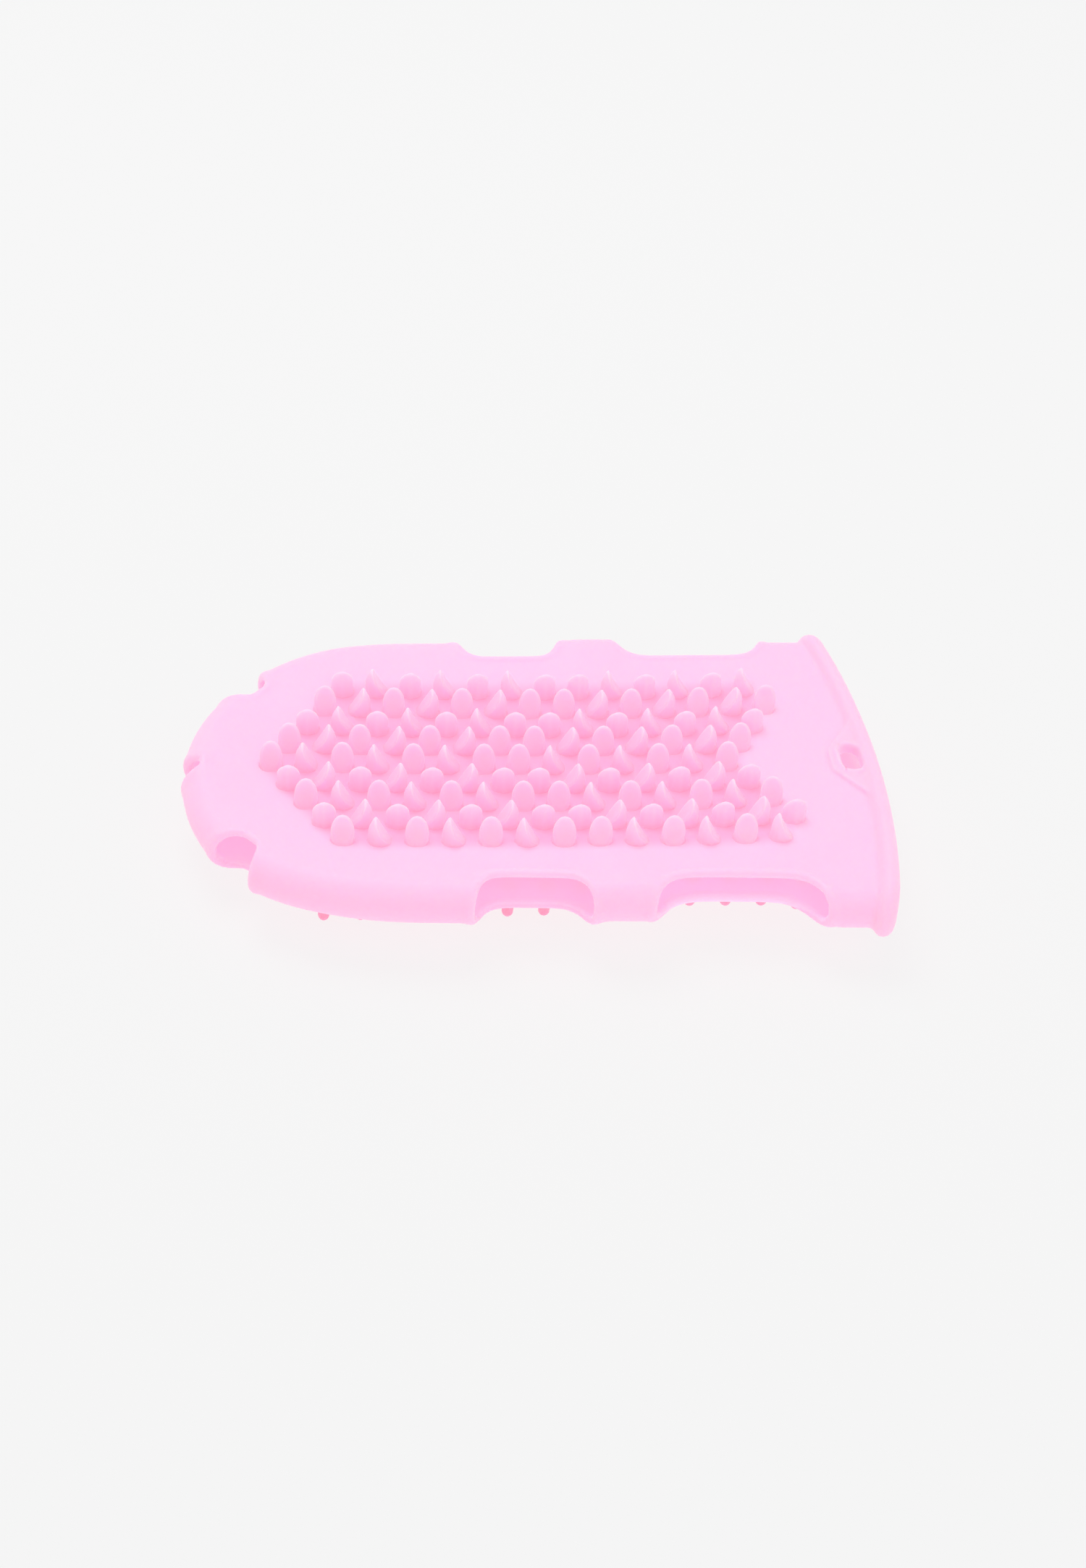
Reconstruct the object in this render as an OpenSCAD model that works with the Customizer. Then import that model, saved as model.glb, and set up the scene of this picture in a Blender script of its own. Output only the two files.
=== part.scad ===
// Reversible silicone grooming glove: a hollow mitt whose upper sheet carries claw-shaped
// massage pegs and whose lower sheet carries fine round-ended bristles.
// Millimetres. +X points to the open cuff, +Z up through the massage pegs, and Y = 0 is the
// plane of symmetry. The origin is the middle of the footprint, at the bristle tips.

/* [Body] */
// Half of the body's width at the cuff
half_w = 69.5; // [67:0.5:72]
// Distance from the origin to the middle of the cuff's edge
cuff_x = 109.5; // [108:0.5:112]
// Distance from the origin to the fingertip end
tip_x = -109.5; // [-112:0.5:-108]
// How much each side draws in for every millimetre towards the fingertips
side_taper = 0.022; // [0:0.002:0.03]
// Where the sides start to curve round to the fingertip end
tip_start_x = -32.5; // [-36:0.5:-30]
// Fullness of the fingertip curve, where 2 is an ellipse
tip_fullness = 2.7; // [2.4:0.1:3]
// Thickness of the hollow body
body_t = 14; // [12:0.5:16]
// Thickness of the silicone skin
skin_t = 1.8; // [1.6:0.1:2.4]
// How far the upper sheet lies below the tops of the side walls
sheet_drop = 4; // [1:0.5:6]
// Width of the level shelf between the side walls and that lower part
shelf_w = 7; // [7:0.5:10]
// Width of the slope from the shelf down to the lower part
slope_w = 6; // [4:0.5:8]
// Distance from the cuff's edge to the middle of that slope
slope_inset = 24; // [22:1:36]

/* [Cuff] */
// Radius of the cuff's edge, seen from above
cuff_arc_r = 320; // [240:5:360]
// Radius of the bead's round section
bead_r = 2.75; // [2.5:0.05:3]
// How far the bead stands out past the skin that it ends
bead_w = 4.5; // [4:0.1:5]

/* [Hang tab] */
// Distance from the cuff's edge to the middle of the slot in the tab
slot_inset = 8.5; // [8.5:0.5:11]
// Radius of the slot's round ends
slot_r = 3.3; // [3:0.1:3.5]
// Distance across the glove from the slot's middle to the middle of each round end
slot_spread = 3; // [0:0.5:4]
// Width of the tab's band round the slot
tab_band = 4.2; // [3:0.1:5]
// Thickness of the tab
tab_t = 3.2; // [3:0.1:4]
// Angle between each flank of the tab and the glove's axis
tab_flank_angle = 56; // [50:1:60]

/* [Openings] */
// Fingertip end of the window beside the knuckles
knuckle_window_x0 = -22.6; // [-26:0.2:-21]
// Cuff end of the window beside the knuckles
knuckle_window_x1 = 13.6; // [11:0.2:15]
// Fingertip end of the thumb window
thumb_window_x0 = 30.2; // [27:0.2:32]
// Cuff end of the thumb window
thumb_window_x1 = 83; // [78:0.2:84]
// How far the sheets draw in at the middle of a knuckle window
knuckle_window_depth = 2.5; // [1:0.1:3]
// How far the sheets draw in at the middle of a thumb window
thumb_window_depth = 4; // [2:0.1:4.5]
// How far the sheets draw in at a corner opening
corner_depth = 1.5; // [1:0.1:3]
// How far the sheets draw in at the opening in the fingertip end
nose_depth = 1; // [0.5:0.1:2]
// Fingertip end of each corner opening, along the middle of the wall
corner_x0 = -92.8; // [-96:0.2:-91]
// Cuff end of each corner opening, along the middle of the wall
corner_x1 = -81.6; // [-84:0.2:-80]
// Width of the opening in the middle of the fingertip end
nose_gap = 10; // [8:0.5:12]
// Width of the thickened rim along each opening
rim_w = 2.4; // [2:0.1:3]
// Thickness of that rim
rim_t = 3; // [2.8:0.1:3.4]

/* [Knuckle flex] */
// Where the glove bends most easily, across the knuckles
flex_x = -4.5; // [-7:0.5:-3]
// Length of the band that takes up the bend
flex_band = 14; // [12:0.5:16]

/* [Massage pegs] */
// Distance between neighbouring pegs in a row
peg_pitch = 11; // [10.5:0.1:11.2]
// Distance between rows
row_pitch = 9.5; // [9:0.1:9.8]
// Middle of the field of pegs
field_x = -10.5; // [-13:0.5:-9]
// Radius of a peg at its foot
peg_r = 3.5; // [3:0.1:3.8]
// Height of a peg
peg_h = 9.7; // [7:0.1:11]
// Height of the upright part of a peg's back
peg_back_h = 5; // [2:0.1:6]
// Height of the lowest point of the flat face that cuts each peg
peg_face_foot = 1.1; // [0.5:0.1:2]
// Slope of the flat face that cuts each peg
peg_face_angle = 62; // [58:1:66]

/* [Bristles] */
// Length of a bristle
bristle_h = 9.5; // [6:0.5:11]
// Radius of a bristle
bristle_r = 1.6; // [1.2:0.1:2]

/* [Hidden] */
$fn = 48;
PEG_ROWS = 4;
PEG_COLUMNS = 14;
BRISTLE_ROWS = 5;
MIDDLE_ROWS = 1;
PALM = "palm";
FLEX = "flex";
FINGER = "finger";

PINK = [0.99, 0.76, 0.92];
DEEP_PINK = [0.99, 0.68, 0.88];
ROSE = [0.96, 0.52, 0.74];
PALE_PINK = [1, 0.86, 0.96];

// Heights
mid_z = bristle_h + body_t / 2;
top_z = bristle_h + body_t;
spine_r = body_t / 2;
wall_inner_r = spine_r - skin_t;

// The spine is the curve that the rounded side walls are swept along. It lies one wall radius
// inside the outline. Its place s runs from 0 at the fingertip end, through 1 where the sides
// become straight, to 2 at the cuff.
cuff_centre_x = cuff_x - cuff_arc_r;
skin_end_r = cuff_arc_r - bead_w;
spine_half_w = half_w - spine_r;
bead_turn = asin(spine_half_w / skin_end_r);
side_end_x = cuff_centre_x + skin_end_r * cos(bead_turn);
tip_length = tip_start_x - tip_x - spine_r;

function side_y(x) = spine_half_w - side_taper * (side_end_x - x);
function tip_turn(s) = 90 * (1 - s);
function spine_x(s) = s < 1
    ? tip_start_x - tip_length * pow(abs(sin(tip_turn(s))), 2 / tip_fullness)
    : tip_start_x + (s - 1) * (side_end_x - tip_start_x);
function spine(s) = [spine_x(s), side_y(spine_x(s)) * (s < 1 ? cos(tip_turn(s)) : 1)];
function unit(v) = v / norm(v);
function outward(s) = let (step = 0.002, d = unit(spine(s + step) - spine(s - step))) [-d.y, d.x];
function place(x) = x < tip_start_x
    ? 1 - asin(pow((tip_start_x - x) / tip_length, tip_fullness / 2)) / 90
    : 1 + (x - tip_start_x) / (side_end_x - tip_start_x);

nose_s = 1 - acos(nose_gap / 2 / side_y(tip_x)) / 90;
corner_s = [place(corner_x0), place(corner_x1)];
knuckle_s = [place(knuckle_window_x0), place(knuckle_window_x1)];
thumb_s = [place(thumb_window_x0), place(thumb_window_x1)];
CUFF_S = 2;
steps = 8;
loop_steps = 12;

// Points of the sheets' edge over one stretch of the spine. Over an opening the edge draws in by
// up to depth, plus the width given to a rim.
function drawn_in(u) = 1 - pow(abs(2 * u - 1), 3);
function edge(s0, s1, depth = 0, rim = 0) =
    [for (i = [0 : steps])
        let (u = i / steps, s = s0 + u * (s1 - s0))
        spine(s) - outward(s) * (depth * drawn_in(u) + rim)];
function across(points) = [for (i = [len(points) - 1 : -1 : 0]) [points[i].x, -points[i].y]];

left_edge = concat(
    edge(nose_s, corner_s[0]),
    edge(corner_s[0], corner_s[1], corner_depth, rim_w),
    edge(corner_s[1], 1),
    edge(1, knuckle_s[0]),
    edge(knuckle_s[0], knuckle_s[1], knuckle_window_depth, rim_w),
    edge(knuckle_s[1], thumb_s[0]),
    edge(thumb_s[0], thumb_s[1], thumb_window_depth, rim_w),
    edge(thumb_s[1], CUFF_S));
sheet_outline = concat(
    edge(-nose_s, nose_s, nose_depth, rim_w),
    left_edge,
    [[cuff_x, spine_half_w], [cuff_x, -spine_half_w]],
    across(left_edge));

// Where along X each of the three sections of the glove lies
flex_x0 = flex_x - flex_band / 2;
flex_x1 = flex_x + flex_band / 2;
function section_x0(section) = section == PALM ? flex_x1 : section == FLEX ? flex_x0 : tip_x;
function section_x1(section) = section == PALM ? cuff_x : section == FLEX ? flex_x1 : flex_x0;
function on_flex(x, r) = x + r > flex_x0 && x - r < flex_x1;
function in_section(section, x, r) = section == FLEX
    ? on_flex(x, r)
    : !on_flex(x, r) && x > section_x0(section) && x < section_x1(section);

module section_box(section) {
    x0 = section_x0(section);
    x1 = section_x1(section);
    translate([x0, -2 * half_w, 0]) cube([x1 - x0, 4 * half_w, 3 * body_t]);
}

// ---- Sheets ----

slot_x = cuff_x - slot_inset;

function slot_arc(r, start, end) =
    [for (i = [0 : loop_steps])
        let (a = start + i / loop_steps * (end - start))
        [slot_x + r * cos(a), slot_spread + r * sin(a)]];

module tab_plan() {
    r = slot_r + tab_band;
    arc = slot_arc(r, 180, 90 + tab_flank_angle);
    reach = arc[loop_steps] + 3 * r * [cos(tab_flank_angle), sin(tab_flank_angle)];
    half = concat(arc, [reach]);
    polygon(concat(half, across(half)));
}

module slot_plan() {
    half = slot_arc(slot_r, 180, 0);
    polygon(concat(half, across(half)));
}

module inside_skin_end() {
    translate([cuff_centre_x, 0, 0]) cylinder(r = skin_end_r, h = 3 * body_t, $fn = 180);
}

module in_outline(section, z, h) {
    intersection() {
        translate([0, 0, z]) linear_extrude(h) polygon(sheet_outline);
        section_box(section);
        if (section == PALM) inside_skin_end();
    }
}

// A loop that lies inset inside the spine, closed off square at end_x near the cuff
function inset_loop(inset, end_x, z) =
    let (tip = [for (i = [-loop_steps : loop_steps])
            let (s = i / loop_steps) spine(s) - outward(s) * inset],
        side = side_y(end_x) - inset)
    [for (p = concat(tip, [[end_x, side], [end_x, -side]])) [p.x, p.y, z]];

// The space above the lower part of the upper sheet, with its floor at height z
module dip(z) {
    end_x = cuff_x - slope_inset;
    swept([
        inset_loop(shelf_w + slope_w, end_x - slope_w / 2, z),
        inset_loop(shelf_w, end_x + slope_w / 2, z + sheet_drop)]);
}

module top_sheet(section) {
    floor_z = top_z - sheet_drop;
    difference() {
        union() {
            in_outline(section, top_z - skin_t, skin_t);
            intersection() {
                dip(floor_z - skin_t);
                section_box(section);
            }
        }
        dip(floor_z);
    }
}

module palm_sheet_top() {
    color(PINK)
    difference() {
        top_sheet(PALM);
        translate([0, 0, mid_z]) linear_extrude(body_t) tab_plan();
    }
}

module palm_sheet_bottom() {
    color(PINK) in_outline(PALM, bristle_h, skin_t);
}

module flex_sheet_top() {
    color(PINK) top_sheet(FLEX);
}

module flex_sheet_bottom() {
    color(PINK) in_outline(FLEX, bristle_h, skin_t);
}

module finger_sheet_top() {
    color(PINK) top_sheet(FINGER);
}

module finger_sheet_bottom() {
    color(PINK) in_outline(FINGER, bristle_h, skin_t);
}

// ---- Rounded side walls ----

function half_ring(centre, direction) = concat(
    [for (a = [-90 : 15 : 90])
        [centre.x + direction.x * spine_r * cos(a), centre.y + direction.y * spine_r * cos(a),
         mid_z + spine_r * sin(a)]],
    [for (a = [90 : -15 : -90])
        [centre.x + direction.x * wall_inner_r * cos(a),
         centre.y + direction.y * wall_inner_r * cos(a), mid_z + wall_inner_r * sin(a)]]);

// Joins a list of rings, each with the same number of points, into one closed solid
module swept(rings) {
    m = len(rings[0]);
    n = len(rings);
    sides = [for (i = [0 : n - 2], j = [0 : m - 1])
        [i * m + j, i * m + (j + 1) % m, (i + 1) * m + (j + 1) % m, (i + 1) * m + j]];
    first = [for (j = [m - 1 : -1 : 0]) j];
    last = [for (j = [0 : m - 1]) (n - 1) * m + j];
    polyhedron([for (ring = rings) each ring], concat([first, last], sides), convexity = 6);
}

module wall(stretches) {
    places = [for (st = stretches, i = [st == stretches[0] ? 0 : 1 : steps])
        st[0] + i / steps * (st[1] - st[0])];
    swept([for (s = places)
        half_ring(spine(s), s == CUFF_S ? [-sin(bead_turn), cos(bead_turn)] : outward(s))]);
}

module mid_bridge_left() {
    color(PALE_PINK) wall([[knuckle_s[1], thumb_s[0]]]);
}

module mid_bridge_right() {
    mirror([0, 1, 0]) mid_bridge_left();
}

module cuff_wall_left() {
    color(PALE_PINK) wall([[thumb_s[1], CUFF_S]]);
}

module cuff_wall_right() {
    mirror([0, 1, 0]) cuff_wall_left();
}

module finger_wall_left() {
    color(PALE_PINK) wall([[corner_s[1], 1], [1, knuckle_s[0]]]);
}

module finger_wall_right() {
    mirror([0, 1, 0]) finger_wall_left();
}

module nose_wall_left() {
    color(PALE_PINK) wall([[nose_s, corner_s[0]]]);
}

module nose_wall_right() {
    mirror([0, 1, 0]) nose_wall_left();
}

// ---- Rims of the openings ----

module rim_pair(s0, s1, depth) {
    outer = edge(s0, s1, depth);
    inner = edge(s0, s1, depth, rim_w);
    plan = concat(outer, [for (i = [steps : -1 : 0]) inner[i]]);
    for (z = [top_z - skin_t, bristle_h + skin_t - rim_t])
        translate([0, 0, z]) linear_extrude(rim_t) polygon(plan);
}

module both_sides() {
    children();
    mirror([0, 1, 0]) children();
}

module knuckle_rims(section) {
    both_sides()
    intersection() {
        rim_pair(knuckle_s[0], knuckle_s[1], knuckle_window_depth);
        section_box(section);
    }
}

module knuckle_rims_palm() {
    color(PALE_PINK) knuckle_rims(PALM);
}

module flex_rims() {
    color(PALE_PINK) knuckle_rims(FLEX);
}

module knuckle_rims_finger() {
    color(PALE_PINK) knuckle_rims(FINGER);
}

module thumb_window_rims() {
    color(PALE_PINK) both_sides() rim_pair(thumb_s[0], thumb_s[1], thumb_window_depth);
}

module corner_rims() {
    color(PALE_PINK) both_sides() rim_pair(corner_s[0], corner_s[1], corner_depth);
}

module nose_rims() {
    color(PALE_PINK) rim_pair(-nose_s, nose_s, nose_depth);
}

// ---- Cuff ----

// A round section cut flat where it meets the skin
module bead_section() {
    difference() {
        translate([bead_w - bead_r, 0]) circle(bead_r);
        translate([-2 * bead_r, -2 * bead_r]) square([2 * bead_r, 4 * bead_r]);
    }
}

// Height of the bead's middle above or below the body's middle
bead_rise = spine_r - 0.1;

module cuff_bead_arc(z) {
    translate([cuff_centre_x, 0, z])
    rotate([0, 0, -bead_turn])
    rotate_extrude(angle = 2 * bead_turn, $fn = 360)
    translate([skin_end_r, 0]) bead_section();
}

module cuff_bead_top() {
    color(PALE_PINK) cuff_bead_arc(mid_z + bead_rise);
}

module cuff_bead_bottom() {
    color(PALE_PINK) cuff_bead_arc(mid_z - bead_rise);
}

module cuff_bead_left() {
    color(PALE_PINK)
    translate([side_end_x, spine_half_w, mid_z])
    rotate([0, 0, bead_turn])
    rotate([0, 90, 0])
    rotate_extrude(angle = 180)
    translate([bead_rise, 0]) rotate([0, 0, 90]) mirror([0, 1]) bead_section();
}

module cuff_bead_right() {
    mirror([0, 1, 0]) cuff_bead_left();
}

module hang_tab() {
    color(PALE_PINK)
    intersection() {
        difference() {
            translate([0, 0, top_z - skin_t]) linear_extrude(tab_t) tab_plan();
            linear_extrude(3 * body_t) slot_plan();
        }
        inside_skin_end();
    }
}

// ---- Massage pegs ----

// A claw: a pointed dome on a round foot, cut by one slanted flat face that looks towards -X
module claw_peg() {
    dome_h = peg_h + 0.3 - peg_back_h;
    dome_r = (peg_r * peg_r + dome_h * dome_h) / (2 * peg_r);
    difference() {
        rotate_extrude()
        intersection() {
            union() {
                square([peg_r, peg_back_h]);
                translate([peg_r - dome_r, peg_back_h]) circle(dome_r, $fn = 96);
            }
            square([peg_r, 2 * peg_h]);
        }
        translate([-peg_r, -2 * peg_r, peg_face_foot])
        rotate([0, -peg_face_angle, 0])
        cube([3 * peg_h, 4 * peg_r, 3 * peg_h]);
    }
}

function lattice_x(row, column) =
    field_x + (column - (PEG_COLUMNS - 1) / 2 + abs(row) / 2) * peg_pitch;

// Every second peg looks across the glove and the others look along it. The order changes over
// at the middle column, and the two halves of the field mirror each other.
function looks_across(column) = column < PEG_COLUMNS / 2 ? column % 2 == 0 : column % 2 == 1;
function peg_heading(row, column) =
    let (even = abs(row) % 2 == 0, front = row <= 0)
    looks_across(column) ? (even == front ? 90 : -90) : (even ? 180 : 0);

module peg_row(section, row) {
    last = abs(row) == PEG_ROWS ? PEG_COLUMNS - 2 : PEG_COLUMNS - 1;
    for (column = [0 : last])
        if (in_section(section, lattice_x(row, column), peg_r))
            translate([lattice_x(row, column), row * row_pitch, top_z - sheet_drop])
            rotate([0, 0, peg_heading(row, column)])
            claw_peg();
}

module massage_pegs_row(section, number) {
    color(DEEP_PINK) peg_row(section, number - PEG_ROWS - 1);
}

module flex_pegs() {
    color(DEEP_PINK)
    for (row = [-PEG_ROWS : PEG_ROWS]) peg_row(FLEX, row);
}

// ---- Bristles ----

module bristle() {
    rotate_extrude()
    intersection() {
        union() {
            translate([0, bristle_r]) square([bristle_r, bristle_h - bristle_r]);
            translate([0, bristle_r]) circle(bristle_r);
        }
        square([bristle_r, bristle_h]);
    }
}

module bristle_rows(section, first, last) {
    color(ROSE)
    for (row = [first : last], column = [-1 : PEG_COLUMNS - 1])
        if (in_section(section, lattice_x(row, column), bristle_r))
            translate([lattice_x(row, column), row * row_pitch, 0]) bristle();
}

module flex_bristles() {
    bristle_rows(FLEX, -BRISTLE_ROWS, BRISTLE_ROWS);
}

module bristles(section, side) {
    if (side == "right") bristle_rows(section, -BRISTLE_ROWS, -MIDDLE_ROWS - 1);
    if (side == "middle") bristle_rows(section, -MIDDLE_ROWS, MIDDLE_ROWS);
    if (side == "left") bristle_rows(section, MIDDLE_ROWS + 1, BRISTLE_ROWS);
}

// ---- The glove ----

palm_sheet_top();
palm_sheet_bottom();
mid_bridge_left();
mid_bridge_right();
cuff_wall_left();
cuff_wall_right();
cuff_bead_top();
cuff_bead_bottom();
cuff_bead_left();
cuff_bead_right();
hang_tab();
thumb_window_rims();
knuckle_rims_palm();
flex_sheet_top();
flex_sheet_bottom();
flex_rims();
flex_pegs();
flex_bristles();
finger_sheet_top();
finger_sheet_bottom();
finger_wall_left();
finger_wall_right();
nose_wall_left();
nose_wall_right();
knuckle_rims_finger();
corner_rims();
nose_rims();
for (section = [PALM, FINGER], side = ["left", "middle", "right"])
    bristles(section, side);
for (section = [PALM, FINGER], r = [1 : 2 * PEG_ROWS + 1])
    massage_pegs_row(section, r);
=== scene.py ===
"""Reversible silicone grooming glove: one hollow moulding with claw-shaped massage pegs on its
upper sheet and round-ended bristles under its lower sheet.

The skin is built as a signed distance field in millimetres, measured from the middle of the
body's thickness, and meshed by surface nets. Pegs and bristles are lofted rings of points.
"""
import math

import bpy
import numpy as np
from mathutils import Matrix, Vector


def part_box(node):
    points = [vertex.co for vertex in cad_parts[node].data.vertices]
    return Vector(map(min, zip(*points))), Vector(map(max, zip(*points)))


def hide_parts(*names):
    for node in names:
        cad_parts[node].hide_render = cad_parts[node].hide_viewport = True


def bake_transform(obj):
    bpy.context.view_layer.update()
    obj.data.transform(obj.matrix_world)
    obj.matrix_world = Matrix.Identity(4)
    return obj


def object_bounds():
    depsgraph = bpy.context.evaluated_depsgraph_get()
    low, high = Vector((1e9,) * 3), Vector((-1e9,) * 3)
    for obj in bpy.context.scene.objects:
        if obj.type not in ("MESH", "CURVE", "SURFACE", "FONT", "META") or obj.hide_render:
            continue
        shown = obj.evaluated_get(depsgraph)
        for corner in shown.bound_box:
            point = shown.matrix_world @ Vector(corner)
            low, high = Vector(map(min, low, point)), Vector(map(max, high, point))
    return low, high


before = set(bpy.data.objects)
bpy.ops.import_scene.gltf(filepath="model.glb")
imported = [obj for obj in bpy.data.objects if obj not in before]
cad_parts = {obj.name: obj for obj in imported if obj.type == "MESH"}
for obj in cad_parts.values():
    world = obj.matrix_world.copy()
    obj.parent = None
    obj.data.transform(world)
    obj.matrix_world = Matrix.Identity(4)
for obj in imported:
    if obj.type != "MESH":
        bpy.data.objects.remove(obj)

cad_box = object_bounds()
MM = 0.001

# ---- Sizes taken from the frame, in millimetres ----
node_names = sorted(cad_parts)


def box_mm(*names):
    """Lowest and highest corner of these CAD nodes together, in millimetres."""
    corners = np.array([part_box(name) for name in names]) / MM
    return corners[:, 0].min(0), corners[:, 1].max(0)


wall_low, wall_high = box_mm("finger_wall_left", "cuff_wall_left")
_, bead_high = box_mm("cuff_bead_top", "cuff_bead_left")

BODY_R = (wall_high[2] - wall_low[2]) / 2
MID_Z = (wall_high[2] + wall_low[2]) / 2
HALF_W = wall_high[1]
CUFF_X = bead_high[0]
TIP_X = cad_box[0].x / MM
BRISTLE_H = wall_low[2]

# ---- Plan of the body, its skin and the bead round the cuff ----
SIDE_TAPER = 0.022
TIP_START_X = -32.5
TIP_FULLNESS = 2.7
SKIN_T = 1.8
CUFF_ARC_R = 320.0
BEAD_R = 2.75
BEAD_W = 4.5
BEAD_INSET = 0.1
SKIN_END_R = CUFF_ARC_R - BEAD_W
CUFF_CENTRE_X = CUFF_X - CUFF_ARC_R
SPINE_HALF_W = HALF_W - BODY_R
SIDE_END_X = CUFF_CENTRE_X + math.sqrt(SKIN_END_R ** 2 - SPINE_HALF_W ** 2)
TIP_LENGTH = TIP_START_X - TIP_X - BODY_R

# ---- Dish of the upper sheet, and the heights over which it fades out below that sheet ----
DISH_DEPTH = 4.6
DISH_EDGE = 0.12
DISH_SIDE_POWER = 2.4
DISH_CUFF_START_X = 5.0
DISH_CUFF_LENGTH = 104.0
DISH_FADE_Z = (2 - BODY_R, 5 - BODY_R)
CUFF_SAG = 1.0
CUFF_SAG_X = (70.0, 104.0)

# ---- How the soft glove droops towards its fingertips and bows beside the thumb windows ----
DROOP = 2.2
DROOP_X = (-60.0, -100.0)
BRIDGE_RISE = 1.5
BRIDGE_X = (8.0, 20.0, 26.0, 36.0)
BOW = 3.4
BOW_X = (26.0, 38.0, 69.0, 88.0)
BOW_ACROSS = (0.15, 0.75)
BOW_FADE_Z = (-1.5, 1.5)
TIP_DROP = 2.0
TIP_DROP_X = (25.0, -65.0)

# ---- Openings: ends along X on the spine, then depth from the outline and squareness of the corners,
# first in the upper sheet and then in the lower one ----
KNUCKLE_WINDOW = (-22.6, 13.6, (BODY_R + 5.0, 6.5), (BODY_R + 4.7, 5.0))
THUMB_WINDOW = (30.2, 83.0, (BODY_R + 5.5, 7.0), (BODY_R + 4.7, 4.5))
CORNER_OPENING = (-93.4, -82.8, (BODY_R + 2.6, 3.4), (BODY_R + 2.2, 3.0))
NOSE_GAP = 9.0
NOSE_EDGE = (BODY_R - 1.0, 3.0)
EDGE_CHANGE_Z = (-4.0, 4.0)
LIP_R = 1.25

# ---- Hang tab ----
SLOT_X = CUFF_X - 8.5
SLOT_R = 3.3
SLOT_SPREAD = 3.0
TAB_R = 6.8
TAB_RISE = 1.4
TAB_FLANK = math.radians(56)
TAB_EDGE_R = 0.7
SLOT_LIP_R = 0.9
SLOT_LIP_OUT = 1.0
SLOT_LIP_SINK = 0.2

# ---- Radii that blend one part of the skin into the next ----
CUFF_BLEND = 0.6
CUT_BLEND = 0.8
LIP_BLEND = 0.9
BEAD_BLEND = 2.0
TAB_BLEND = 1.0
SLOT_BLEND = 0.6

# ---- Pegs and bristles ----
PEG_PITCH = 11.0
ROW_PITCH = 9.5
FIELD_X = -10.5
PEG_ROWS = 4
PEG_COLUMNS = 14
BRISTLE_ROWS = 5
PEG_R = 3.5
PEG_H = 9.7
PEG_BACK_H = 4.0
PEG_FACE_ANGLE = math.radians(62)
PEG_FACE_FOOT = 1.1
PEG_FACE_HOLLOW = 0.9
PEG_SINK = 0.9
PEG_FLARE = 0.4
PEG_OVERLAP = 0.5
PEG_DOME_SPARE = 0.3
PEG_DOME_POWER = 0.6
PEG_SIDES = 32
BRISTLE_R = 1.75
BRISTLE_FILLET = 0.8
BRISTLE_OVERLAP = 0.5
BRISTLE_SIDES = 14

# ---- Distance field of the skin ----


def side_half_width(x):
    """Half the spine's width at this X, where the sides are nearly straight."""
    return SPINE_HALF_W - SIDE_TAPER * (SIDE_END_X - x)


def spine_points():
    """The upper half (y >= 0) of the curve that the side wall follows, from nose to cuff."""
    fine_points, even_points, past_cuff = 2000, 320, 30
    turn = np.linspace(math.pi / 2, 0, fine_points)
    x = TIP_START_X - TIP_LENGTH * np.sin(turn) ** (2 / TIP_FULLNESS)
    y = side_half_width(x) * np.cos(turn)
    along = np.concatenate([[0], np.cumsum(np.hypot(np.diff(x), np.diff(y)))])
    even = np.linspace(0, along[-1], even_points)
    x, y = np.interp(even, along, x), np.interp(even, along, y)
    end = CUFF_X + past_cuff
    return np.append(x, end), np.append(y, side_half_width(end))


SPINE_X, SPINE_Y = spine_points()
SEGMENT_X, SEGMENT_Y = np.diff(SPINE_X), np.diff(SPINE_Y)
SEGMENT_LENGTH = np.hypot(SEGMENT_X, SEGMENT_Y)
SEGMENT_START = np.concatenate([[0], np.cumsum(SEGMENT_LENGTH)[:-1]])


def plan(x, y):
    """Signed distance outward from the spine and distance along it, for points of the plan."""
    at_once = 8192
    distance, along = np.empty(len(x)), np.empty(len(x))
    direction_x, direction_y = SEGMENT_X / SEGMENT_LENGTH, SEGMENT_Y / SEGMENT_LENGTH
    for start in range(0, len(x), at_once):
        part = slice(start, start + at_once)
        from_x = x[part, None] - SPINE_X[:-1]
        from_y = np.abs(y[part, None]) - SPINE_Y[:-1]
        run = np.clip(from_x * direction_x + from_y * direction_y, 0, SEGMENT_LENGTH)
        off_x, off_y = from_x - run * direction_x, from_y - run * direction_y
        square = off_x ** 2 + off_y ** 2
        nearest = square.argmin(1)
        row = np.arange(len(nearest))
        side = direction_x[nearest] * from_y[row, nearest] - direction_y[nearest] * from_x[row, nearest]
        distance[part] = np.sqrt(square[row, nearest]) * np.where(side < 0, -1, 1)
        along[part] = SEGMENT_START[nearest] + run[row, nearest]
    return distance, along


def smooth_max(a, b, radius):
    """The larger of two fields, with a rounded change-over where they are nearly equal."""
    gap = np.maximum(radius - np.abs(a - b), 0)
    return np.maximum(a, b) + gap * gap / (4 * radius)


def smooth_min(a, b, radius):
    """The smaller of two fields, with a rounded change-over where they are nearly equal."""
    return -smooth_max(-a, -b, radius)


def smoothstep(x, start, end):
    """Goes smoothly from 0 at the start to 1 at the end."""
    t = np.clip((x - start) / (end - start), 0, 1)
    return t * t * (3 - 2 * t)


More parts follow.
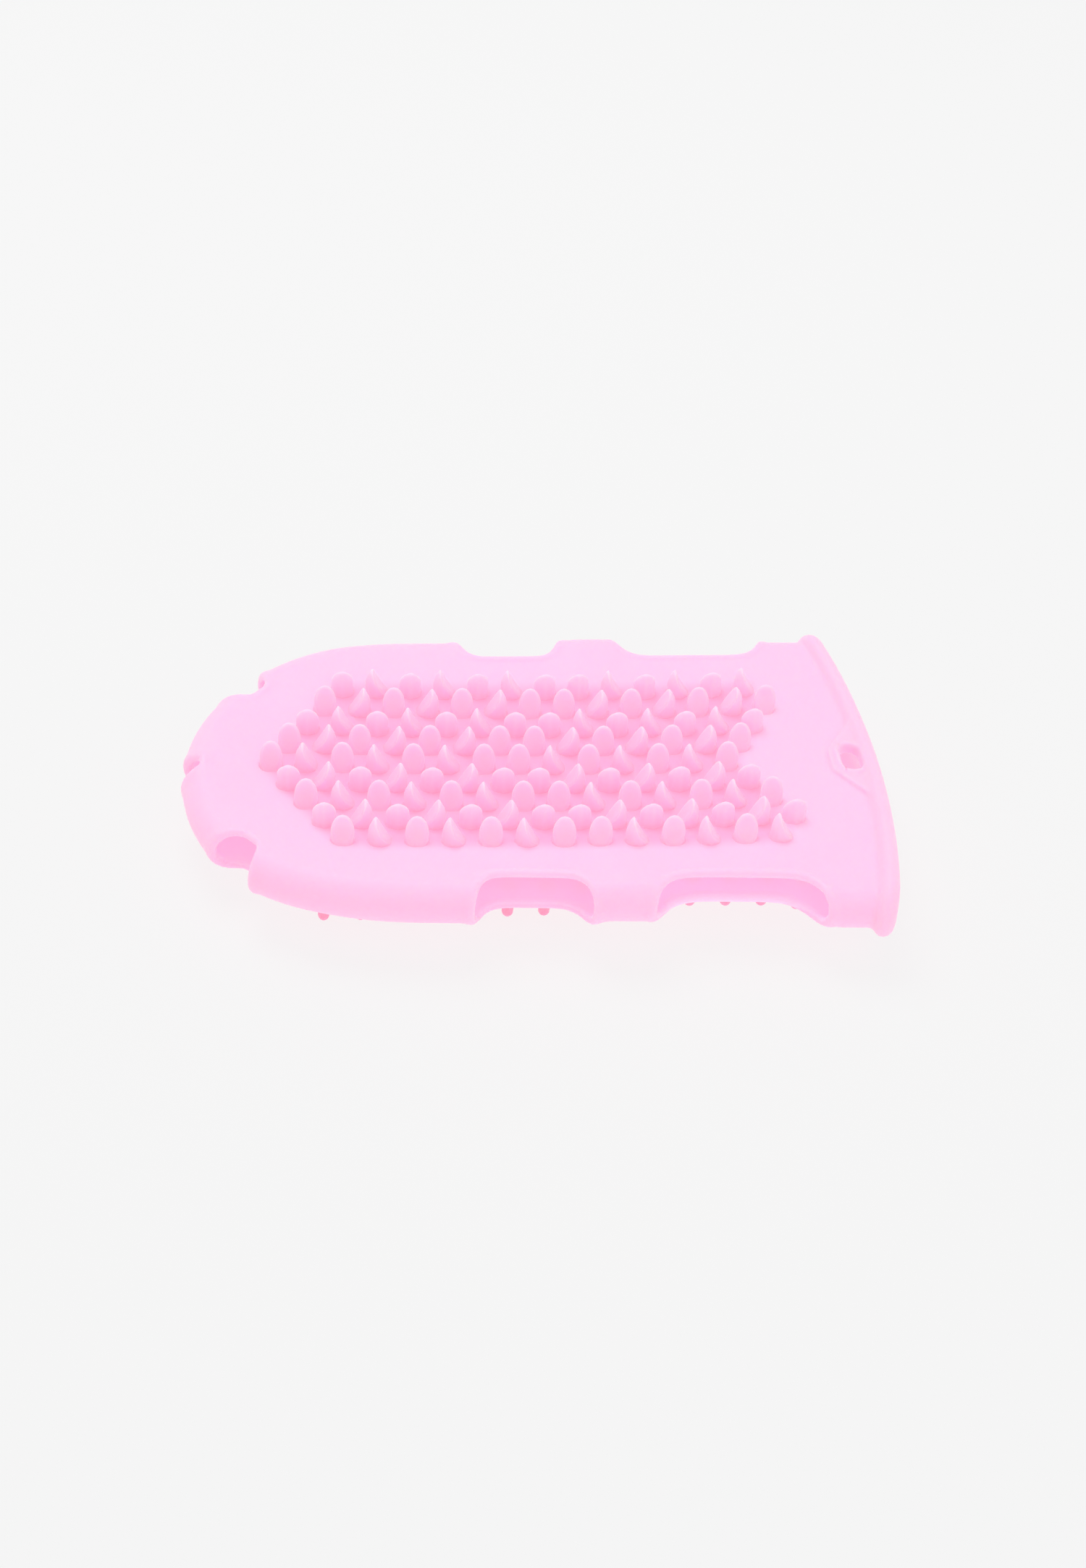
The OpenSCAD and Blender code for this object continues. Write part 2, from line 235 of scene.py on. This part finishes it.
def dish(x, y):
    """How far the upper sheet lies below the tops of the side walls."""
    towards_tip = np.clip((TIP_START_X - x) / TIP_LENGTH, 0, None) ** TIP_FULLNESS
    towards_cuff = np.clip((x - DISH_CUFF_START_X) / DISH_CUFF_LENGTH, 0, None) ** 2
    across = np.abs(y / side_half_width(x)) ** DISH_SIDE_POWER
    inside = np.clip(1 - towards_tip - towards_cuff - across, 0, None)
    sag = DISH_DEPTH * inside ** 2 / (inside + DISH_EDGE) * (1 + DISH_EDGE)
    cuff_sag = CUFF_SAG * smoothstep(x, *CUFF_SAG_X) * np.clip(1 - across, 0, 1) ** 2
    return sag + cuff_sag


def hump(x, ends):
    """Rises from 0 to 1 between the first two of four ends and falls again between the last two."""
    return smoothstep(x, ends[0], ends[1]) * (1 - smoothstep(x, ends[2], ends[3]))


def droop(x, y):
    """How far the whole body lies below its level at the middle of the palm."""
    rise = BRIDGE_RISE * hump(x, BRIDGE_X) * np.clip(np.abs(y) / SPINE_HALF_W, 0, 1) ** 4
    return DROOP * smoothstep(-x, -DROOP_X[0], -DROOP_X[1]) - rise


def bow(x, y):
    """How far the lower sheet bows up beside the thumb windows."""
    return BOW * hump(x, BOW_X) * smoothstep(np.abs(y) / side_half_width(x), *BOW_ACROSS)


def along_at(x):
    """Distance along the spine of its point at this X."""
    lengths = np.append(SEGMENT_START, SEGMENT_START[-1] + SEGMENT_LENGTH[-1])
    return np.interp(x, SPINE_X, lengths)


def opening(distance, along, upward, start, end, upper_edge, lower_edge):
    """Positive where an opening cuts the skin. Its edge is drawn in from the outline, most at its middle.
    It passes from the lower sheet's edge to the upper one's as upward goes from 0 to 1."""
    depth, squareness = [low + (high - low) * upward for high, low in zip(upper_edge, lower_edge)]
    u = (along - start) / (end - start)
    from_middle = np.abs(2 * u - 1)
    drawn = depth * (1 - from_middle ** squareness)
    slope = depth * 2 * squareness * from_middle ** (squareness - 1) / (end - start)
    return (distance - BODY_R + drawn) / np.sqrt(1 + slope ** 2)


nose_half = along_at(TIP_X) + NOSE_GAP / 2
OPENINGS = [(-nose_half, nose_half, NOSE_EDGE, NOSE_EDGE)] + [
    (along_at(x0), along_at(x1), *edges)
    for x0, x1, *edges in (KNUCKLE_WINDOW, THUMB_WINDOW, CORNER_OPENING)]


def tab_distance(x, y):
    """Plan distance from the hang tab: a round end whose flanks widen to the cuff."""
    ahead, aside = x - SLOT_X, np.abs(y) - SLOT_SPREAD
    along_flank = ahead * math.cos(TAB_FLANK) + aside * math.sin(TAB_FLANK)
    beside_flank = aside * math.cos(TAB_FLANK) - ahead * math.sin(TAB_FLANK)
    return np.where(along_flank > 0, beside_flank, from_slot(x, y)) - TAB_R


def from_slot(x, y):
    """Plan distance from the line that joins the middles of the slot's round ends."""
    return np.hypot(x - SLOT_X, np.maximum(np.abs(y) - SLOT_SPREAD, 0))


def skin_field(x, y, z, distance, along):
    """Negative inside the silicone."""
    z = z + droop(x, y)
    lifted = z + dish(x, y) * smoothstep(z, *DISH_FADE_Z)
    lifted -= bow(x, y) * (1 - smoothstep(z, *BOW_FADE_Z))
    ring = np.hypot(np.maximum(distance, 0), lifted)
    skin = np.abs(ring - (BODY_R - SKIN_T / 2)) - SKIN_T / 2
    end = np.hypot(x - CUFF_CENTRE_X, y) - SKIN_END_R
    body = smooth_max(skin, end, CUFF_BLEND)
    upward = smoothstep(z, *EDGE_CHANGE_Z)
    cut = np.max([opening(distance, along, upward, *one) for one in OPENINGS], axis=0)
    body = smooth_max(body, cut, CUT_BLEND)
    lip = np.hypot(ring - (BODY_R - SKIN_T / 2), cut + 0.6 * LIP_R) - LIP_R
    body = smooth_min(body, lip, LIP_BLEND)
    bead = np.hypot(ring - (BODY_R - BEAD_INSET), end - (BEAD_W - BEAD_R)) - BEAD_R
    body = smooth_min(body, bead, BEAD_BLEND)
    above = lifted - BODY_R
    tab = np.hypot(np.maximum(tab_distance(x, y) + TAB_EDGE_R, 0),
                   np.maximum(above - TAB_RISE + TAB_EDGE_R, 0)) - TAB_EDGE_R
    tab = np.maximum(np.maximum(tab, -above - SKIN_T), end)
    body = smooth_min(body, tab, TAB_BLEND)
    beside_slot = from_slot(x, y) - SLOT_R
    slot_lip = np.hypot(beside_slot - SLOT_LIP_OUT, above - TAB_RISE + SLOT_LIP_SINK) - SLOT_LIP_R
    body = smooth_min(body, slot_lip, SLOT_BLEND)
    hole = np.where(above > -2 * SKIN_T, -beside_slot, -1.0)
    return smooth_max(body, hole, SLOT_BLEND)


# ---- Surface nets ----


def graded(*stretches):
    """Grid lines over stretches (end, step) that follow one another. The first value is the start."""
    lines = [stretches[0]]
    for end, step in stretches[1:]:
        count = max(1, round((end - lines[-1]) / step))
        lines.extend(np.linspace(lines[-1], end, count + 1)[1:])
    return np.array(lines)


def surface_nets(xs, ys, zs, field):
    """Quads around the zero level of a field sampled on a grid: (points, quads)."""
    inside = field < 0
    corner_steps = np.array([(i, j, k) for i in (0, 1) for j in (0, 1) for k in (0, 1)])
    shape = np.array(field.shape) - 1
    counts = sum(inside[i:i + shape[0], j:j + shape[1], k:k + shape[2]].astype(int)
                 for i, j, k in corner_steps)
    cells = np.argwhere((counts > 0) & (counts < 8))
    number = -np.ones(tuple(shape), int)
    number[tuple(cells.T)] = np.arange(len(cells))
    axes = (xs, ys, zs)
    corners = cells[:, None, :] + corner_steps
    value = field[corners[..., 0], corners[..., 1], corners[..., 2]]
    place = np.stack([axes[a][corners[..., a]] for a in range(3)], -1)
    total, crossings = np.zeros((len(cells), 3)), np.zeros(len(cells))
    for a in range(8):
        for b in range(a + 1, 8):
            if np.abs(corner_steps[a] - corner_steps[b]).sum() != 1:
                continue
            crosses = (value[:, a] < 0) != (value[:, b] < 0)
            gap = np.where(crosses, value[:, a] - value[:, b], 1)
            t = (value[:, a] / gap)[:, None]
            point = place[:, a] + t * (place[:, b] - place[:, a])
            total += np.where(crosses[:, None], point, 0)
            crossings += crosses
    points = total / crossings[:, None]
    quads = []
    for axis in range(3):
        one, two = [a for a in range(3) if a != axis]
        low = [slice(None)] * 3
        high = [slice(None)] * 3
        low[axis], high[axis] = slice(0, -1), slice(1, None)
        changes = np.argwhere(inside[tuple(low)] != inside[tuple(high)])
        changes = changes[(changes[:, one] > 0) & (changes[:, two] > 0)
                          & (changes[:, one] < shape[one]) & (changes[:, two] < shape[two])]
        around = []
        for step_one, step_two in ((1, 1), (0, 1), (0, 0), (1, 0)):
            cell = changes.copy()
            cell[:, one] -= step_one
            cell[:, two] -= step_two
            around.append(number[tuple(cell.T)])
        around = np.stack(around, 1)
        flip = inside[tuple(changes.T)] == (axis == 1)
        around[flip] = around[flip][:, ::-1]
        quads.append(around)
    return points, np.concatenate(quads)


def skin_value_and_slope(points):
    """The field and its gradient at points, with the plan distances taken as locally straight."""
    x, y, z = points.T
    distance, along = plan(x, y)
    step = 0.02
    distance_x, along_x = plan(x + step, y)
    distance_y, along_y = plan(x, y + step)
    value = skin_field(x, y, z, distance, along)
    slope = np.stack([
        skin_field(x + step, y, z, distance_x, along_x) - value,
        skin_field(x, y + step, z, distance_y, along_y) - value,
        skin_field(x, y, z + step, distance, along) - value], 1) / step
    return value, slope


def skin_mesh():
    """Points in metres and quads of the whole skin. The grid is finer where the skin is more curved."""
    edge = BEAD_R + 1
    flattest, longest_move = 0.2, 0.4
    xs = graded(TIP_X - edge, (-80, 0.8), (84, 0.95), (96, 0.9), (CUFF_X + edge, 0.6))
    half = graded(0, (46, 1.7), (HALF_W + edge, 0.75))
    ys = np.concatenate([-half[:0:-1], half])
    zs = graded(-BODY_R - edge - DROOP, (BODY_R + edge + 1, 0.55))
    grid_x, grid_y = np.meshgrid(xs, ys, indexing="ij")
    distance, along = plan(grid_x.ravel(), grid_y.ravel())
    distance = distance.reshape(grid_x.shape)[..., None]
    along = along.reshape(grid_x.shape)[..., None]
    field = skin_field(grid_x[..., None], grid_y[..., None], zs[None, None, :], distance, along)
    points, quads = surface_nets(xs, ys, zs, field)
    for _ in range(3):
        value, slope = skin_value_and_slope(points)
        steepness = np.maximum((slope ** 2).sum(1), flattest)
        move = slope * (value / steepness)[:, None]
        length = np.linalg.norm(move, axis=1, keepdims=True)
        points -= move * np.minimum(1, longest_move / np.maximum(length, 1e-9))
    points[:, 2] += MID_Z
    return points * MM, quads


# ---- Pegs and bristles ----


def lofted(rings, cap_first=None, cap_last=None):
    """Points and faces of a tube through rings of equal size, each end closed by a middle point."""
    count, size = len(rings), len(rings[0])
    points = np.concatenate(rings)
    index = np.arange(count * size).reshape(count, size)
    after = np.roll(index, -1, axis=1)
    faces = np.stack([index[:-1], after[:-1], after[1:], index[1:]], -1).reshape(-1, 4).tolist()
    for cap, ring, backwards in ((cap_first, 0, True), (cap_last, count - 1, False)):
        if cap is None:
            continue
        middle = len(points)
        points = np.vstack([points, cap])
        for a, b in zip(index[ring], after[ring]):
            faces.append([middle, b, a] if backwards else [middle, a, b])
    return points, faces


def peg_radius(height):
    """Radius of the peg, a round dome on an upright foot, at a height above its foot."""
    dome_h = PEG_H + PEG_DOME_SPARE - PEG_BACK_H
    up = np.clip((height - PEG_BACK_H) / dome_h, 0, 1)
    return PEG_R * (1 - up ** 2) ** PEG_DOME_POWER


def flare(height):
    """How far the fillet at the foot stands out at a height."""
    up = np.clip(PEG_FLARE + PEG_SINK - height, 0, PEG_FLARE)
    return PEG_FLARE - np.sqrt(PEG_FLARE ** 2 - up ** 2)


def scooped(points):
    """Moves points of the peg's flat face on to its hollow, which is deepest half-way up."""
    up = np.clip((points[:, 2] - PEG_FACE_FOOT) / (PEG_H - PEG_FACE_FOOT), 0, 1)
    return points + np.outer(PEG_FACE_HOLLOW * 4 * up * (1 - up), [1, 0, 0])


def claw_peg():
    """A claw whose hollow face looks towards -X, as rings from the middle of its face to its foot."""
    psi = np.arange(PEG_SIDES) * 2 * math.pi / PEG_SIDES
    climb = np.array([math.cos(PEG_FACE_ANGLE), 0, math.sin(PEG_FACE_ANGLE)])
    across = np.array([0, 1.0, 0])
    out = np.array([-math.sin(PEG_FACE_ANGLE), 0, math.cos(PEG_FACE_ANGLE)])
    foot = np.array([-PEG_R, 0, PEG_FACE_FOOT])
    face_length = (PEG_H - PEG_FACE_FOOT) / math.sin(PEG_FACE_ANGLE)
    centre = foot + climb * face_length * 0.5
    ray = np.cos(psi)[:, None] * climb + np.sin(psi)[:, None] * across
    low, high = np.zeros(PEG_SIDES), np.full(PEG_SIDES, 2.0 * PEG_H)
    for _ in range(40):  # halves the gap between inside and outside along each ray
        middle = (low + high) / 2
        point = scooped(centre + ray * middle[:, None])
        outside = np.hypot(point[:, 0], point[:, 1]) > peg_radius(point[:, 2])
        outside |= (point[:, 2] > PEG_H + PEG_DOME_SPARE) | (point[:, 2] < 0)
        low, high = np.where(outside, low, middle), np.where(outside, middle, high)
    reach = low[:, None]
    before_rim, rim_in, rim_down = 0.8, 0.35, 0.3
    rings = [scooped(centre + ray * reach * share) for share in (0.3, 0.55, 0.72)]
    rings.append(scooped(centre + ray * (reach - before_rim)))
    rim = scooped(centre + ray * reach)
    rings.append(rim - ray * rim_in - out * rim_down)
    azimuth = np.arctan2(rim[:, 1], rim[:, 0])
    rim_height = rim[:, 2]
    heights = [np.maximum(rim_height - drop, rim_height * 0.5) for drop in (0.5, 1.1)]
    heights += [heights[-1] * (1 - share) for share in (0.2, 0.4, 0.6, 0.78, 0.9, 0.96, 1.0)]
    for height in heights:
        radius = peg_radius(height) + flare(height)
        rings.append(np.stack([radius * np.cos(azimuth), radius * np.sin(azimuth), height], 1))
    skirt = rings[-1].copy()
    skirt[:, :2] *= 0.97
    skirt[:, 2] = -PEG_OVERLAP
    rings.append(skirt)
    cap = scooped(centre[None, :])[0]
    return lofted(rings, cap_first=cap, cap_last=np.array([0, 0, -PEG_OVERLAP]))


def bristle():
    """A round-ended bristle that hangs from its root at height 0."""
    angle = np.arange(BRISTLE_SIDES) * 2 * math.pi / BRISTLE_SIDES
    circle = np.stack([np.cos(angle), np.sin(angle)], 1)
    middle_r, root_r = BRISTLE_R * 1.05, BRISTLE_R * 1.1
    rings = []
    for turn in np.radians([15, 35, 55, 75, 90]):
        rings.append((BRISTLE_R * math.sin(turn), -BRISTLE_H + BRISTLE_R * (1 - math.cos(turn))))
    rings.append((middle_r, -BRISTLE_H * 0.5))
    for turn in np.radians([0, 30, 60, 90]):
        rings.append((root_r + BRISTLE_FILLET * (1 - math.cos(turn)),
                      -BRISTLE_FILLET * (1 - math.sin(turn))))
    rings.append((root_r + BRISTLE_FILLET * 0.9, BRISTLE_OVERLAP))
    rings = [np.column_stack([circle * radius, np.full(BRISTLE_SIDES, height)]) for radius, height in rings]
    return lofted(rings, cap_first=np.array([0, 0, -BRISTLE_H]), cap_last=np.array([0, 0, BRISTLE_OVERLAP]))


def lattice(rows, columns):
    """Row, column and place of each point of the field."""
    for row in range(-rows, rows + 1):
        for column in columns(row):
            x = FIELD_X + (column - (PEG_COLUMNS - 1) / 2 + abs(row) / 2) * PEG_PITCH
            yield row, column, x, row * ROW_PITCH


def peg_heading(row, column):
    """Every second peg looks across the glove; the order changes over at the middle column."""
    even, front = row % 2 == 0, row <= 0
    across = column % 2 == 0 if column < PEG_COLUMNS / 2 else column % 2 == 1
    if across:
        return math.pi / 2 if even == front else -math.pi / 2
    return math.pi if even else 0.0


def gathered(shape, places):
    """One mesh of many turned and moved copies of a shape: (points in metres, faces)."""
    shape_points, shape_faces = shape
    points, faces, start = [], [], 0
    for x, y, z, heading, follow in places:
        c, s = math.cos(heading), math.sin(heading)
        turned = np.stack([shape_points[:, 0] * c - shape_points[:, 1] * s,
                           shape_points[:, 0] * s + shape_points[:, 1] * c, shape_points[:, 2]], 1)
        turned[:, 2] += z + follow(turned, x, y)
        points.append((turned + [x, y, 0]) * MM)
        faces.extend([[i + start for i in face] for face in shape_faces])
        start += len(shape_points)
    return np.concatenate(points), faces


def on_dish(local, x, y):
    """How far a peg's points rise to follow the dished sheet. Its foot takes the slope of the sheet
    under it, and its tip doesn't."""
    share = np.clip(1 - local[:, 2] / PEG_BACK_H, 0, 1)
    here = dish(np.array([x]), np.array([y]))[0]
    under = dish(x + local[:, 0], y + local[:, 1])
    return -here - (under - here) * share - droop(x, y)


def under_skin(local, x, y):
    """How far a bristle's points rise to follow the lower sheet. Its tip, at a height of -BRISTLE_H from
    its root, lies up to TIP_DROP lower towards the fingertips."""
    raised = bow(x, y)
    root = raised - droop(x, y)
    tip = raised - TIP_DROP * smoothstep(-x, -TIP_DROP_X[0], -TIP_DROP_X[1])
    return root + (tip - root) * np.clip(-local[:, 2] / BRISTLE_H, 0, 1)


peg_places = [(x, y, MID_Z + BODY_R - PEG_SINK, peg_heading(row, column), on_dish)
              for row, column, x, y in lattice(
                  PEG_ROWS, lambda row: range(PEG_COLUMNS - (abs(row) == PEG_ROWS)))]
bristle_places = [(x, y, BRISTLE_H, 0.0, under_skin)
                  for row, column, x, y in lattice(BRISTLE_ROWS, lambda row: range(-1, PEG_COLUMNS))]


def mesh_object(name, points, faces):
    """A smooth-shaded mesh object of points in metres and faces, linked to the scene."""
    mesh = bpy.data.meshes.new(name)
    mesh.from_pydata(points.tolist(), [], faces.tolist() if isinstance(faces, np.ndarray) else faces)
    mesh.validate()
    mesh.shade_smooth()
    obj = bpy.data.objects.new(name, mesh)
    bpy.context.scene.collection.objects.link(obj)
    return obj


# ---- Materials ----
# Painted glow: emission that stands in for light scattered through the silicone, its strength everywhere
# and the extra on the inside of the hollow.
PAINTED_GLOW = 0.26
INNER_PAINTED_GLOW = 0.13
# Fades of the peg field's painted shade at its edge, and of the painted glow inside the hollow towards its
# top.
FIELD_FADE = (-1.0, 6.0)
INNER_FADE_Z = (-3.0, 2.0)
CLOUD_SHARE = 0.2


def silicone(name, colour, shade_colour, low_z, high_z):
    """Soft translucent silicone. Its colour deepens from high_z down to low_z, in metres, and where
    the mesh's field attribute nears 1: painted shade for the lower parts and the crevices between the pegs,
    with a cloudy variation of tone. Besides the scattering it has a faint painted glow, which is there for
    the look alone: it stands in for light scattered through the silicone and lifts its shades, stronger
    where the inner attribute nears 1, on the inside of the hollow."""
    material = bpy.data.materials.new(name)
    material.use_nodes = True
    nodes, links = material.node_tree.nodes, material.node_tree.links
    shader = nodes["Principled BSDF"]
    shader.inputs["Roughness"].default_value = 0.5
    shader.inputs["Subsurface Weight"].default_value = 0.8
    shader.inputs["Subsurface Radius"].default_value = (1.0, 0.4, 0.65)
    shader.inputs["Subsurface Scale"].default_value = 0.006
    shader.inputs["IOR"].default_value = 1.41
    shader.inputs["Emission Color"].default_value = (1.0, 0.66, 0.62, 1)
    # Painted glow: an emission that lifts the shades, more where the inner attribute marks the inside of
    # the hollow.
    inner = nodes.new("ShaderNodeAttribute")
    inner.attribute_name = "inner"
    glow = nodes.new("ShaderNodeMath")
    glow.operation = "MULTIPLY_ADD"
    glow.inputs[1].default_value = INNER_PAINTED_GLOW
    glow.inputs[2].default_value = PAINTED_GLOW
    links.new(inner.outputs["Fac"], glow.inputs[0])
    links.new(glow.outputs[0], shader.inputs["Emission Strength"])
    # Painted shade: the base colour goes to the shaded colour towards low_z and where the field attribute
    # marks the crevices between the pegs; the cloud noise adds a random variation of tone.
    place = nodes.new("ShaderNodeTexCoord")
    split = nodes.new("ShaderNodeSeparateXYZ")
    links.new(place.outputs["Object"], split.inputs[0])
    height = nodes.new("ShaderNodeMapRange")
    height.inputs["From Min"].default_value = low_z
    height.inputs["From Max"].default_value = high_z
    links.new(split.outputs["Z"], height.inputs["Value"])
    field = nodes.new("ShaderNodeAttribute")
    field.attribute_name = "field"
    unshaded_share = nodes.new("ShaderNodeMath")
    unshaded_share.operation = "SUBTRACT"
    links.new(height.outputs["Result"], unshaded_share.inputs[0])
    links.new(field.outputs["Fac"], unshaded_share.inputs[1])
    cloud = nodes.new("ShaderNodeTexNoise")
    cloud.inputs["Scale"].default_value = 45
    cloud.inputs["Detail"].default_value = 3
    links.new(place.outputs["Object"], cloud.inputs["Vector"])
    cloud_tone_and_shade = nodes.new("ShaderNodeMath")
    cloud_tone_and_shade.operation = "MULTIPLY_ADD"
    cloud_tone_and_shade.use_clamp = True
    cloud_tone_and_shade.inputs[1].default_value = CLOUD_SHARE
    links.new(cloud.outputs["Fac"], cloud_tone_and_shade.inputs[0])
    links.new(unshaded_share.outputs[0], cloud_tone_and_shade.inputs[2])
    mix = nodes.new("ShaderNodeMix")
    mix.data_type = "RGBA"
    mix.inputs["A"].default_value = (*shade_colour, 1)
    mix.inputs["B"].default_value = (*colour, 1)
    links.new(cloud_tone_and_shade.outputs[0], mix.inputs["Factor"])
    links.new(mix.outputs["Result"], shader.inputs["Base Color"])
    grain = nodes.new("ShaderNodeTexNoise")
    grain.inputs["Scale"].default_value = 2600
    grain.inputs["Detail"].default_value = 2
    links.new(place.outputs["Object"], grain.inputs["Vector"])
    bump = nodes.new("ShaderNodeBump")
    bump.inputs["Strength"].default_value = 0.12
    bump.inputs["Distance"].default_value = 0.0002
    links.new(grain.outputs["Fac"], bump.inputs["Height"])
    links.new(bump.outputs["Normal"], shader.inputs["Normal"])
    return material


def linear(red, green, blue):
    """Linear colour of an sRGB colour given in 0 to 255."""
    def one(value):
        value /= 255
        return value / 12.92 if value <= 0.04045 else ((value + 0.055) / 1.055) ** 2.4
    return one(red), one(green), one(blue)


def mark_skin(mesh):
    """Stores two values from 0 to 1 for each point: how far it lies within the field of pegs, where the
    material paints shade into the crevices, and how far it lies on the inside of the lower sheet, where the
    material paints a stronger glow."""
    points = np.array([vertex.co for vertex in mesh.vertices]) / MM
    distance, _ = plan(points[:, 0], points[:, 1])
    z = points[:, 2] - MID_Z + droop(points[:, 0], points[:, 1])
    above = z + dish(points[:, 0], points[:, 1]) * (z > -BODY_R / 2)
    below = z - bow(points[:, 0], points[:, 1])
    ring = np.hypot(np.maximum(distance, 0), np.where(z > -BODY_R / 2, above, below))
    inner = smoothstep(-ring, SKIN_T * 0.75 - BODY_R, SKIN_T - BODY_R)
    inner *= smoothstep(-z, -INNER_FADE_Z[1], -INNER_FADE_Z[0])
    mesh.attributes.new("inner", "FLOAT", "POINT").data.foreach_set("value", inner)
    x, y = points[:, 0], np.abs(points[:, 1])
    shift = y / ROW_PITCH * PEG_PITCH / 2
    half_length = (PEG_COLUMNS - 1) / 2 * PEG_PITCH
    beyond = np.max([y - PEG_ROWS * ROW_PITCH, np.abs(x - FIELD_X - shift) - half_length,
                     x - FIELD_X - PEG_ROWS * PEG_PITCH / 2 - half_length + PEG_PITCH], axis=0)
    mask = smoothstep(-beyond, -FIELD_FADE[1], -FIELD_FADE[0])
    mesh.attributes.new("field", "FLOAT", "POINT").data.foreach_set("value", mask)


# ---- The three pieces ----
skin = mesh_object("glove_skin", *skin_mesh())
mark_skin(skin.data)
pegs = mesh_object("massage_pegs", *gathered(claw_peg(), peg_places))
bristles = mesh_object("bristles", *gathered(bristle(), bristle_places))
top = (MID_Z + BODY_R) * MM
# Each piece gets a lit colour and a deeper painted-shade colour. The bristles, which hang in the shade
# under the glove, are a deeper pink than the skin throughout, as painted shade.
skin.data.materials.append(silicone("silicone_skin", linear(254, 190, 226), linear(254, 160, 206), 0, top))
pegs.data.materials.append(silicone("silicone_pegs", linear(254, 197, 230), linear(254, 158, 208),
                                    top - 0.006, top + 0.004))
bristles.data.materials.append(silicone("silicone_bristles", linear(250, 142, 184), linear(248, 122, 168),
                                        0, BRISTLE_H * MM))

bristle_nodes = [name for name in node_names if "bristle" in name]
peg_nodes = [name for name in node_names if "peg" in name]
skin_nodes = [name for name in node_names if name not in bristle_nodes + peg_nodes]
for piece, slot, stands_for in ((skin, "silicone_skin", skin_nodes), (pegs, "silicone_pegs", peg_nodes),
                                (bristles, "silicone_bristles", bristle_nodes)):
    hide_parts(*stands_for)
    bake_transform(piece)

# ---- Floor, light and camera ----
FLOOR_GAP = 0.1
bpy.ops.mesh.primitive_plane_add(size=8, location=(0, 0, -(TIP_DROP + FLOOR_GAP) * MM))
floor = bpy.context.object
floor.name = "floor"
paper = bpy.data.materials.new("lit_table")
paper.use_nodes = True
table_top = paper.node_tree.nodes["Principled BSDF"]
table_top.inputs["Base Color"].default_value = (0.1, 0.1, 0.1, 1)
table_top.inputs["Roughness"].default_value = 0.9
table_top.inputs["Emission Color"].default_value = (1, 1, 1, 1)
table_top.inputs["Emission Strength"].default_value = 0.81
floor.data.materials.append(paper)
bpy.context.scene.view_settings.view_transform = "Standard"

world = bpy.data.worlds.new("studio")
bpy.context.scene.world = world
world.use_nodes = True
world.node_tree.nodes["Background"].inputs["Color"].default_value = (1, 1, 1, 1)
world.node_tree.nodes["Background"].inputs["Strength"].default_value = 0.6


def area_light(name, place, size, power):
    """A round soft light, aimed at the origin."""
    data = bpy.data.lights.new(name, "AREA")
    data.shape = "DISK"
    data.size = size
    data.energy = power
    lamp = bpy.data.objects.new(name, data)
    bpy.context.scene.collection.objects.link(lamp)
    lamp.location = place
    lamp.rotation_euler = (Vector((0, 0, 0)) - Vector(place)).to_track_quat("-Z", "Y").to_euler()


area_light("key", (-0.25, 0.5, 1.25), size=0.9, power=5.7)
area_light("fill", (0.5, -1.0, 0.8), size=1.2, power=1.9)

camera_data = bpy.data.cameras.new("camera")
camera = bpy.data.objects.new("camera", camera_data)
bpy.context.scene.collection.objects.link(camera)
bpy.context.scene.camera = camera
camera_data.lens = 47.65
AIM_Z = MID_Z + 6.0
camera.location = Vector((-62.5, -513.8, AIM_Z + 393.4)) * MM
down, aside, roll = math.radians(37.92), math.radians(7.29), math.radians(4.66)
facing = Vector((math.sin(aside) * math.cos(down), math.cos(aside) * math.cos(down), -math.sin(down)))
camera.rotation_mode = "QUATERNION"
camera.rotation_quaternion = (facing.to_track_quat("-Z", "Y").to_matrix()
                              @ Matrix.Rotation(roll, 3, "Z")).to_quaternion()
